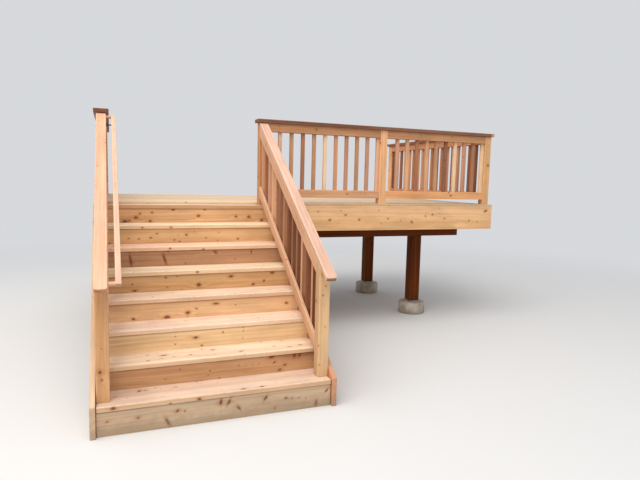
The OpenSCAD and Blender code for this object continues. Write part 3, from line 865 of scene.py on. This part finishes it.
# Knots of each riser: from its left end, over the tread below it, size, stretch and lean if any
riser_knots = [
    [(0.068, 0.104, 0.006, 1.2, 0.3), (0.267, 0.103, 0.007, 1.5, 0.2), (0.467, 0.044, 0.011, 3.5, -1.1),
     (0.533, 0.116, 0.009, 1.8, 0.6), (0.842, 0.141, 0.011, 2.2, 1.4), (0.901, 0.134, 0.009, 3.5, 1.1),
     (0.976, 0.077, 0.010, 2.4, -1.0), (1.179, 0.128, 0.009, 2.6, 1.0), (1.254, 0.039, 0.007, 1.8, 0.9),
     (1.34, 0.107, 0.008, 1.6, 0.4), (1.389, 0.100, 0.006, 1.0), (1.446, 0.093, 0.006, 1.0),
     (1.503, 0.085, 0.006, 1.0), (1.588, 0.034, 0.013, 2.2, 1.4), (1.674, 0.125, 0.008, 2.8, 0.8)],
    [(0.581, 0.105, 0.006, 1.2), (0.81, 0.069, 0.006, 1.3), (0.797, 0.037, 0.005, 1.2),
     (0.476, 0.041, 0.005, 1.2), (1.035, 0.086, 0.005, 1.2), (1.089, 0.086, 0.005, 1.0),
     (1.144, 0.085, 0.005, 1.0), (1.199, 0.086, 0.005, 1.0), (1.302, 0.130, 0.012, 2.2, 0.2),
     (1.326, 0.083, 0.008, 1.6, 0.6), (1.372, 0.017, 0.009, 1.8, 0.3), (1.415, 0.054, 0.009, 1.6, 0.2),
     (1.497, 0.125, 0.011, 2.0, 1.3), (1.541, 0.123, 0.010, 2.0, 1.2)],
    [(0.74, 0.08, 0.012, 1.5, 0.1), (0.962, 0.106, 0.007, 1.5, -0.6), (1.134, 0.105, 0.006, 1.2),
     (0.581, 0.103, 0.006, 1.1), (0.58, 0.038, 0.006, 1.2), (0.79, 0.009, 0.007, 1.4),
     (1.129, 0.04, 0.006, 1.0), (1.131, 0.137, 0.006, 1.0)],
    [(0.275, 0.017, 0.010, 1.6, -0.4), (0.542, 0.014, 0.014, 1.9, 0.1), (0.714, 0.039, 0.015, 1.4, 0.2),
     (0.787, 0.071, 0.007, 1.6, -0.3), (0.954, 0.104, 0.009, 3.0), (1.126, 0.083, 0.006, 1.0),
     (1.597, 0.071, 0.012, 1.2)],
    [(0.299, 0.015, 0.009, 2.2, 0.1), (0.28, 0.072, 0.007, 1.3), (0.56, 0.121, 0.008, 1.5),
     (0.573, 0.036, 0.006, 1.2), (0.657, 0.128, 0.006, 1.0), (0.849, 0.041, 0.019, 1.1, 0.1),
     (1.142, 0.107, 0.013, 1.6, 0.2), (1.353, 0.024, 0.012, 1.5, 0.5), (1.457, 0.05, 0.010, 1.3, 0.3),
     (1.539, 0.125, 0.012, 1.9, 0.1)],
    [(0.277, 0.062, 0.012, 4.8, -1.42), (0.576, 0.066, 0.011, 5.2, -1.30),
     (0.606, 0.139, 0.007, 2.4, -0.6), (1.049, 0.116, 0.011, 2.0, -0.6), (1.239, 0.046, 0.006, 1.2),
     (1.401, 0.112, 0.008, 2.2, 1.3)],
    [(0.097, 0.007, 0.009, 1.2), (0.269, 0.052, 0.007, 1.4), (0.364, 0.045, 0.007, 1.2),
     (0.473, 0.055, 0.009, 1.3, 0.2), (0.531, 0.094, 0.008, 1.2, 0.3), (0.696, 0.031, 0.007, 1.4),
     (0.744, 0.014, 0.008, 1.2), (0.811, 0.079, 0.010, 1.2, -0.5), (0.889, 0.111, 0.006, 1.0),
     (1.003, 0.046, 0.007, 1.4), (1.12, 0.015, 0.006, 1.2), (1.133, 0.098, 0.006, 1.2),
     (1.327, 0.03, 0.009, 1.5)],
    [(0.245, 0.014, 0.014, 1.8, 0.1), (0.288, 0.022, 0.009, 1.2), (0.350, 0.052, 0.014, 1.4, 0.3),
     (0.388, 0.093, 0.009, 1.4, 0.1), (0.486, 0.015, 0.013, 1.2, 0.2), (0.505, 0.102, 0.009, 1.5),
     (0.712, 0.131, 0.011, 1.6, 0.2), (0.968, 0.067, 0.015, 1.2), (1.031, 0.132, 0.009, 1.4),
     (1.363, 0.061, 0.012, 1.2), (1.504, 0.058, 0.015, 1.2, 0.1), (1.647, 0.020, 0.015, 1.4, 0.2)],
]


def stained(shape, origin, spots):
    """Soft stains on a board's front: each multiplies the colour by its tone, faded out by a bell curve."""
    for along, height, half_length, half_height, tone in spots:
        dx = (shape["points"][:, 0] - origin[0] - along) / half_length
        dz = (shape["points"][:, 2] - origin[1] - height) / half_height
        depth = np.exp(-dx ** 2 - dz ** 2)[:, None]
        shape = {**shape, "tint": shape["tint"] * (1 + depth * (np.array(tone) - 1))}
    return shape


riser_cedar = timber("riser_cedar", ring_depth=0.2, streak_depth=0.5, pins=0.3, pin_size=0.0025)
low_riser_cedar = timber("low_riser_cedar", ring_depth=0.22, streak_depth=0.5, pins=0.3, pin_size=0.0025,
                         dust=0.55)
riser_grid = 0.008
# Painted shade under each tread's nose: the top of the riser is darkened, as the shadow of the nose
nose_shade_height, nose_shade_tone = 0.006, (0.70, 0.62, 0.55)
for number, (colour, knots) in enumerate(zip(riser_colours, riser_knots), 1):
    node = "riser_%d" % number
    hidden, wood = (0, low_riser_cedar) if number == 1 else (plank, riser_cedar)
    low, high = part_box(node)
    face = board(low, high, "x", colour, ease=sawn_ease, spacing=riser_grid, stations=riser_grid,
                 knots=on_face(knots, across=hidden))
    face = stained(face, (low.x, low.z + hidden), riser_stains.get(number, ()))
    # Painted shade: the riser's top is darkened under the nose above
    face = toned(face, face["points"][:, 2] > high.z - nose_shade_height, nose_shade_tone)
    put_in_place(node + "_board", [face], wood, node)

# TREADS AND NOSING BOARD
# Wide planks of planed cedar with rounded front edges, screwed down to the carriages.
# The narrower board at the head of the steps is notched back round the head posts.

tread_colours = [
    srgb(225, 199, 177), srgb(233, 209, 182), srgb(236, 209, 185), srgb(232, 206, 181),
    srgb(238, 217, 187), srgb(235, 200, 175), srgb(245, 222, 192),
]
nose_tones = [
    (0.94, 0.82, 0.66), (0.94, 0.86, 0.75), (1.05, 1.05, 1.00), (0.98, 0.92, 0.82), (0.96, 0.88, 0.79),
    (0.96, 0.94, 0.82), (0.97, 0.92, 0.78),
]
# Knots on each tread's top: from its left end, behind its nose, size, stretch and lean if any
tread_knots = [
    [(0.286, 0.215, 0.012, 1.5, 1.0), (0.328, 0.215, 0.007, 2.0, 0.1), (0.402, 0.241, 0.006, 1.4),
     (0.544, 0.212, 0.007, 1.4), (0.705, 0.27, 0.006, 1.5, 0.2), (0.745, 0.282, 0.006, 1.4),
     (0.202, 0.109, 0.006, 1.2), (1.012, 0.027, 0.010, 2.0, 0.1), (1.155, 0.029, 0.009, 2.0, 0.1)],
    [(0.357, 0.057, 0.009, 1.6, 0.1), (0.361, 0.189, 0.007, 1.6), (0.457, 0.078, 0.007, 1.5),
     (0.477, 0.153, 0.012, 2.0, 0.1), (0.551, 0.097, 0.006, 1.4), (0.676, 0.105, 0.008, 1.8, 0.3),
     (0.778, 0.217, 0.007, 1.4), (0.858, 0.175, 0.010, 1.7), (1.061, 0.068, 0.009, 1.9, 0.2),
     (1.279, 0.263, 0.007, 1.4), (1.355, 0.128, 0.007, 1.5), (1.458, 0.248, 0.007, 1.3),
     (1.471, 0.069, 0.009, 1.9, -0.4), (1.574, 0.1, 0.009, 1.5)],
    [(0.103, 0.043, 0.006, 1.2), (0.681, 0.169, 0.007, 1.4), (1.287, 0.109, 0.006, 1.4),
     (1.497, 0.262, 0.006, 1.3), (1.595, 0.112, 0.006, 1.4)],
    [(0.436, 0.086, 0.007, 1.8), (0.478, 0.101, 0.006, 1.3), (0.61, 0.191, 0.006, 1.3),
     (1.084, 0.153, 0.006, 1.4), (1.121, 0.012, 0.006, 1.4), (1.552, 0.052, 0.006, 1.3)],
    [(0.622, 0.262, 0.007, 1.8, 0.1), (1.13, 0.186, 0.006, 1.6, 0.4), (1.669, 0.168, 0.007, 1.4)],
    [(1.085, 0.095, 0.006, 1.3)],
    [],
]
# Knots on each tread's nose: from its left end and under its top, then the size
nose_knots = [
    [(0.109, 0.017, 0.012), (0.484, 0.034, 0.007), (0.685, 0.026, 0.010)], [], [], [],
    [(0.834, 0.020, 0.009)], [(0.933, 0.031, 0.008)], [(0.395, 0.026, 0.008), (0.662, 0.025, 0.008)],
]
tread_cedar = timber("tread_cedar", ring_depth=0.16, streak_depth=0.36, pins=0.25, pin_size=0.003)
nose_ease, tread_grid = 0.007, 0.009
per_tread = zip(tread_boxes, tread_colours, nose_tones, tread_knots, nose_knots)
for number, ((low, high), colour, nose_tone, knots, fronts) in enumerate(per_tread, 1):
    node = "tread_%d" % number
    placed = on_face(knots, through=plank)
    placed += [(x, 0, plank - below, size, 1.5, 0.0) for x, below, size in fronts]
    face = board(low, high, "x", colour, ease=nose_ease, spacing=tread_grid, stations=tread_grid,
                 knots=placed)
    face = toned(face, low_side(face, 1, low.y, 0.003), nose_tone)
    put_in_place(node + "_plank", [face], tread_cedar, node)

nosing_low, nosing_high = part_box("deck_nosing")
nosing_cream, nosing_edge = srgb(247, 230, 203), (0.64, 0.46, 0.34)
left_post, right_post = round_post("head_post_left"), round_post("head_post_right")
beyond = 1.0
beside_posts = [
    ((left_post[0][0] - beyond, left_post[0][1] + post_gap), (left_post[1][0], left_post[1][1] + beyond)),
    ((right_post[0][0], right_post[0][1] + post_gap), (right_post[1][0] + beyond, right_post[1][1] + beyond)),
]
nosing_knots = [(x, 0, 0.017, 0.006, 1.4, 0.0) for x in (0.356, 0.499, 0.859, 1.217)]
nosing = cut_round(nosing_low, nosing_high, beside_posts, nosing_cream, spacing=0.012, knots=nosing_knots)
nosing = toned(nosing, low_side(nosing, 1, nosing_low.y), nosing_edge)
nosing_board = put_in_place("nosing_board", [nosing], tread_cedar, "deck_nosing")
ease_edges(nosing_board, plank_ease)

# NEWELS
# The bottom posts stand on the lowest tread, and their tops are sawn to the slope of the caps.
# The right one is yellower, and its side towards the steps is painted cooler and darker, as shade.

newel_colours = {"left": srgb(214, 166, 118), "right": srgb(221, 184, 138)}
newel_knots = {"left": [(0.163, 0.041, 0.008, 1.3)],
               "right": [(0.257, 0.001, 0.007, 1.2), (0.101, 0.012, 0.007, 1.2), (0.405, 0.055, 0.006, 1.2),
                         (0.66, 0.03, 0.007, 1.3), (0.735, 0.052, 0.007, 1.3)]}
newel_grid = 0.012
newel_shaded_side_tone = (0.85, 0.87, 0.93)


def to_slope(points, low, high):
    """Slides the top down towards the front, so that it follows the slope: height is shared out in
    proportion."""
    top = high.z - slope * (high.y - points[:, 1])
    share = (points[:, 2] - low.z) / (high.z - low.z)
    return np.column_stack((points[:, :2], low.z + share * (top - low.z)))


for side in ("left", "right"):
    low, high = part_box("newel_" + side)
    shape = board(low, high, "z", newel_colours[side], ease=post_ease, spacing=newel_grid,
                  stations=newel_grid, knots=on_face(newel_knots[side]),
                  bend=lambda points: to_slope(points, low, high))
    if side == "right":
        # Painted shade on the right newel's side towards the steps
        shape = toned(shape, low_side(shape, 0, low.x), newel_shaded_side_tone)
    put_in_place(side + "_newel_square", [shape], post_cedar, "newel_" + side)

# STAIR RAILS AND BALUSTERS
# On each side a low rail over the treads and one under the cap, each a pair of boards sawn plumb against the
# posts, and fourteen square sticks between the boards, with both ends sawn to the slope.

terracotta = srgb(212, 170, 136)
plumb_height = rail_height / cos_pitch
# From the newel up to the head post; the boards next to one another rarely match
stair_stick_colours = {
    "left": [orange, pink, tan_cream, pink, orange, reddish, straw_gold, pink, tan_cream, mauve, orange, pink,
             reddish, straw_gold],
    # The right side's dark colours are partly painted shade, for the sticks' fronts that face away from the
    # light
    "right": [reddish, deep_red, deep_red, reddish, deep_red, deep_red, deep_red, reddish, mauve, reddish,
              straw_gold, pink, mauve, orange],
}
# Sticks of the right side whose face towards the steps is painted lighter, as light from the left falling on it
lit_side_tones = {
    1: (3.1, 4.6, 5.6), 3: (1.6, 2.1, 2.5), 4: (1.6, 2.6, 3.1), 5: (1.4, 2.0, 2.4), 7: (1.1, 1.4, 1.6),
    8: (1.05, 1.15, 1.1), 9: (1.5, 1.9, 2.2), 12: (1.2, 1.15, 1.0),
}


def up_the_slope(points, start):
    """Slides each point straight up by the slope times its distance from the start."""
    return points + np.column_stack((np.zeros((len(points), 2)), slope * (points[:, 1] - start)))


for side in ("left", "right"):
    low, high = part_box("stair_rails_" + side)
    foot_y = low.y
    raised = high.z - slope * (high.y - low.y)
    slopes = []
    for z in (low.z, raised - plumb_height):
        for a, b in side_by_side((low.x, low.y, z), (high.x, high.y, z + plumb_height), 2, 0, rail_board):
            slopes.append(board(a, b, "y", terracotta, ease=plank_ease, lean=pitch_angle,
                                bend=lambda points: up_the_slope(points, foot_y)))
    put_in_place(side + "_stair_rail_boards", slopes, rail_cedar, "stair_rails_" + side)

    low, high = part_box("stair_balusters_" + side)
    top = (high.x, high.y, high.z - slope * (high.y - low.y))
    colours = stair_stick_colours[side]
    sticks = [board(a, b, "z", colour, spacing=stick_spacing,
                    bend=lambda points: up_the_slope(points, foot_y))
              for (a, b), colour in zip(side_by_side(low, top, len(colours), 1, stick), colours)]
    if side == "right":
        # Painted light on each listed stick's face towards the steps
        for number, tone in lit_side_tones.items():
            sticks[number] = toned(sticks[number], low_side(sticks[number], 0, low.x), tone)
    put_in_place(side + "_stair_sticks", sticks, stick_cedar, "stair_balusters_" + side)

# STAIR CAPS
# A flat plank on each sloped railing, nailed to the newel and the rail. Its lower end is square with rounded
# corners, and its upper end is sawn plumb at the head post.

cap_colours = {"left": srgb(222, 174, 144), "right": srgb(222, 186, 166)}
cap_end_tone, cap_shaded_side_tone = (0.66, 0.62, 0.50), (0.89, 0.88, 0.78)
cap_cedar = timber("cap_cedar", ring_depth=0.18, streak_depth=0.45, pins=0.3, pin_size=0.003)
corner_round = 0.020


def laid_on_slope(points, low, high, top_z):
    """Draws the lower end back to quarter circles at its corners, less and less over three radii. Then turns
    the plank up by the angle of the steps about its lower top edge, and trims its upper end plumb."""
    to_side = np.minimum(points[:, 0] - low.x, high.x - points[:, 0])
    short = np.clip(corner_round - to_side, 0, corner_round)
    drawn = corner_round - np.sqrt(corner_round ** 2 - short ** 2)
    along = points[:, 1] + drawn * np.clip(1 - (points[:, 1] - low.y) / (3 * corner_round), 0, 1)
    depth = top_z - points[:, 2]
    share = (along - low.y) / (high.y - low.y)
    reach = share * (high.y - low.y - depth * sin_pitch) / cos_pitch
    return np.column_stack((
        points[:, 0],
        low.y + reach * cos_pitch + depth * sin_pitch,
        top_z + reach * sin_pitch - depth * cos_pitch,
    ))


for side in ("left", "right"):
    low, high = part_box("stair_cap_" + side)
    top_z = high.z - slope * (high.y - low.y)
    shape = board((low.x, low.y, top_z - plank), (high.x, high.y, top_z), "y", cap_colours[side],
                  ease=nose_ease, bend=lambda points: laid_on_slope(points, low, high, top_z),
                  lean=pitch_angle)
    if side == "right":
        shape = toned(shape, shape["cut"] > 0.5, cap_end_tone)
        # Painted shade on the right cap's side towards the steps
        shape = toned(shape, low_side(shape, 0, low.x), cap_shaded_side_tone)
    put_in_place(side + "_stair_cap_plank", [shape], cap_cedar, "stair_cap_" + side)

# GRAB RAIL
# A flat planed rail on the slope beside the left railing, pale pink cedar with eased edges.
# A round dowel at each end holds it off the cap.

grab_low, grab_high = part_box("grab_rail")
grab_colour = srgb(219, 178, 152)
grab_width, grab_dowel, dowel_chamfer, dowel_sunk = 0.040, 0.030, 0.001, 0.004
grab_run, grab_climb = grab_high.y - grab_low.y, grab_high.z - grab_low.z
grab_depth = (grab_climb * cos_pitch - grab_run * sin_pitch) / (cos_pitch ** 2 - sin_pitch ** 2)
grab_length = (grab_run - grab_depth * sin_pitch) / cos_pitch


def turned_up(points):
    """Turns the rail up by the angle of the steps about its lowest front edge."""
    y, z = points[:, 1], points[:, 2]
    return np.column_stack((
        points[:, 0],
        grab_low.y + grab_depth * sin_pitch + y * cos_pitch - z * sin_pitch,
        grab_low.z + y * sin_pitch + z * cos_pitch,
    ))


def dowel(x0, x1, y, z, radius):
    """A round rod along the X axis: a turned profile whose rims are chamfered, laid on its side."""
    rim, length = dowel_chamfer, x1 - x0
    shape = turned(np.array([(0, 0), (radius - rim, 0), (radius, rim), (radius, length - rim),
                             (radius - rim, length), (0, length)]), sides=24)
    across, through, along = shape["points"].T
    size = (length, 2 * radius, 2 * radius)
    marks = grain_marks(shape["points"], along, across, through, size, grab_colour, ())
    return unmarked(np.column_stack((x0 + along, y + across, z + through)), shape["faces"], marks)


rail_x = grab_high.x - grab_width
grab_parts = [board((rail_x, 0, 0), (grab_high.x, grab_length, grab_depth), "y", grab_colour,
                    ease=heavy_ease, bend=turned_up, lean=pitch_angle)]
for along in (grab_depth / 2, grab_length - grab_depth / 2):
    centre = turned_up(np.array([(rail_x, along, grab_depth / 2)]))[0]
    grab_parts.append(dowel(grab_low.x, rail_x + dowel_sunk, centre[1], centre[2], grab_dowel / 2))
put_in_place("grab_rail_and_dowels", grab_parts, cap_cedar, "grab_rail")

# BRACKET
# A bent iron rod on a round plate, which props the grab rail near its top.
# It is painted nearly black, and the paint is duller and greyer where it is scuffed.


def coated_metal(name, scale, worn, coat, bare, roughness, metallic):
    """Coated steel: where a noise of the given scale is high, the coat is worn to its bare colour. The
    roughness goes from the first value to the second with the same noise."""
    material, tree, shader = new_finish(name)
    scuff = cloud(tree, own_place(tree), scale, 3.0)
    colour = blended(tree, eased_step(tree, scuff, 0.5, worn), coat, bare)
    tree.links.new(colour, shader.inputs["Base Color"])
    tree.links.new(eased_step(tree, scuff, 0.3, 0.7, *roughness), shader.inputs["Roughness"])
    shader.inputs["Metallic"].default_value = metallic
    return material


refinish("grab_rail_bracket", coated_metal(
    "black_iron", scale=160.0, worn=0.75, coat=opaque(38, 35, 33), bare=opaque(78, 70, 64),
    roughness=(0.35, 0.6), metallic=0.3))

# SCREWS AND BOLTS
# Coated deck screws, sunk nearly flush in the treads and decking boards, and screws through the inner rail
# boards into the sticks. Bolts with washers and nuts hold the deck posts to the rims.

screw_radius, proud = 0.0042, 0.0004
screw_steel = coated_metal(
    "coated_screws", scale=300.0, worn=0.7, coat=opaque(134, 104, 78), bare=opaque(172, 160, 146),
    roughness=(0.6, 0.4), metallic=0.5)


def scattered(shape, places):
    """Copies of one small closed shape, one at each place: its points are added to every place at once."""
    points = (shape["points"][None, :, :] + np.asarray(places)[:, None, :]).reshape(-1, 3)
    lift = np.arange(len(places)) * len(shape["points"])
    faces = [[corner + int(step) for corner in face] for step in lift for face in shape["faces"]]
    return {"points": points, "faces": faces}


def head(radius, height, sides, facing):
    """A low disc with a chamfered rim, lying flat, or facing along -Y or +Y."""
    shape = turned(np.array([
        (0, 0), (radius, 0), (radius, height * 0.5), (radius * 0.8, height), (0, height)
    ]), sides)
    x, y, z = shape["points"].T
    if facing == "-y":
        shape["points"] = np.column_stack((x, -z, y))
    elif facing == "+y":
        shape["points"] = np.column_stack((-x, z, y))
    return shape


def driven(name, places, facing="up", sides=10):
    """Screws of one kind, of which only the heads show."""
    heads = scattered(head(screw_radius, 2 * proud, sides, facing), places)
    put_in_place(name, [heads], screw_steel, None)


# Two in each tread, and in the nosing board, over each of the three inner carriages: how far behind the nose
tread_backs, nosing_backs = (0.065, 0.215), (0.035, 0.105)
carriage_middles = carriage_xs[1:-1] + plank / 2
tread_screws = [(x, y + back, z - proud) for y, z in zip(nose, tread_top) for x in carriage_middles
                for back in tread_backs]
tread_screws += [(x, nosing_low.y + back, nosing_high.z - proud) for x in carriage_middles
                 for back in nosing_backs]
driven("tread_screws", tread_screws, sides=12)

# Two over each joist in every decking board from the third, this far to each side of the board's middle
deck_aside, first_screwed = 0.04, 2
joist_middles = np.linspace(joist_low.x, joist_high.x - plank, joist_count) + plank / 2
deck_screws = [(x, deck_low.y + (row + 0.5) * deck_pitch - deck_gap / 2 + aside, deck_high.z - proud)
               for row in range(first_screwed, deck_rows) for x in joist_middles
               for aside in (-deck_aside, deck_aside)]
driven("decking_screws", deck_screws)

# Two to each stick in the inner boards of the front rails, at these shares of a board's height
rail_shares = (0.28, 0.72)
rail_screws = []
for (x0, x1), colours in zip(bays, front_stick_colours):
    step = (x1 - x0 - stick) / len(colours)
    rail_screws += [(x0 + stick / 2 + step * number, rail_high.y - proud, z + rail_height * share)
                    for number in range(1, len(colours) + 1)
                    for z in (rail_low.z, rail_high.z - rail_height) for share in rail_shares]
driven("rail_screws", rail_screws, facing="+y")

# Two bolts to each post, one this far over its foot and one as far under the joists' top
bolt_inset = 0.07
# Radius, height and number of sides
washer, nut = (0.016, 0.003, 24), (0.0095, 0.011, 6)
bolts = {"+y": [], "-y": []}
for node in deck_posts:
    low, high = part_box(node)
    facing, face_y = ("-y", low.y) if node.startswith("rear") else ("+y", high.y)
    for z in (low.z + bolt_inset, joist_high.z - bolt_inset):
        bolts[facing].append(((low.x + high.x) / 2, face_y, z))
fittings = [scattered(head(*part, facing), places) for facing, places in bolts.items()
            for part in (washer, nut)]
put_in_place("post_bolts", fittings, zinc, None)

# STUDIO
# A pale floor that fades out into an even pale sky, with one large soft light high on the left.
# It is only there for the picture, and no part of the stairs.

floor_half, fade_from, fade_to = 40.0, 3.5, 11.0
floor_corners = [(-floor_half, -floor_half, 0), (floor_half, -floor_half, 0), (floor_half, floor_half, 0),
                 (-floor_half, floor_half, 0)]
floor_mesh = bpy.data.meshes.new("studio_floor")
floor_mesh.from_pydata(floor_corners, [], [(0, 1, 2, 3)])
floor = bpy.data.objects.new("studio_floor", floor_mesh)
bpy.context.scene.collection.objects.link(floor)
floor_paint, tree, paint = new_finish("studio_floor_paint")
paint.inputs["Base Color"].default_value = (0.66, 0.655, 0.645, 1)
paint.inputs["Roughness"].default_value = 0.95
away = length_of(tree, own_place(tree))
clear = wire(tree, "ShaderNodeBsdfTransparent").outputs[0]
fade = eased_step(tree, away, fade_from, fade_to)
fading = wire(tree, "ShaderNodeMixShader", {0: fade, 1: paint.outputs[0], 2: clear})
tree.links.new(fading.outputs[0], tree.nodes["Material Output"].inputs["Surface"])
floor_mesh.materials.append(floor_paint)

sky = bpy.data.worlds.new("soft_sky")
sky.use_nodes = True
sky.node_tree.nodes["Background"].inputs["Color"].default_value = (0.94, 0.96, 1.0, 1)
sky.node_tree.nodes["Background"].inputs["Strength"].default_value = 0.72
bpy.context.scene.world = sky

softbox = bpy.data.lights.new("softbox", "AREA")
softbox.shape = "RECTANGLE"
softbox.size = 10.0
softbox.size_y = 10.0
softbox.energy = 1250
softbox.color = (1.0, 0.97, 0.93)
lamp = bpy.data.objects.new("softbox", softbox)
lamp.location = (-4.5, -4.5, 10.0)
lamp.rotation_euler = (math.radians(30), 0, math.radians(-42))
bpy.context.scene.collection.objects.link(lamp)

# CAMERA
# Eye height, in front of the steps' left railing, turned to the right and tipped a little down.
# The place, the angles in degrees and the lens are those from which the photograph was taken.

eye_right, eye_back, eye_height = 0.1199, 3.7281, 1.7693
eye = (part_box("head_post_left")[0].x + eye_right, nose[0] - eye_back, eye_height)
view_yaw, view_pitch, view_roll = 21.434, -6.394, 1.385
lens_in_pixels = 534.31
picture_width = 640
camera_data = bpy.data.cameras.new("camera")
camera_data.sensor_width = 36.0
camera_data.lens = camera_data.sensor_width * lens_in_pixels / picture_width
camera = bpy.data.objects.new("camera", camera_data)
turn = (Matrix.Rotation(math.radians(-view_yaw), 4, "Z")
        @ Matrix.Rotation(math.radians(90 + view_pitch), 4, "X")
        @ Matrix.Rotation(math.radians(view_roll), 4, "Z"))
camera.matrix_world = Matrix.Translation(eye) @ turn
bpy.context.scene.collection.objects.link(camera)
bpy.context.scene.camera = camera
bpy.context.scene.view_settings.view_transform = "Standard"
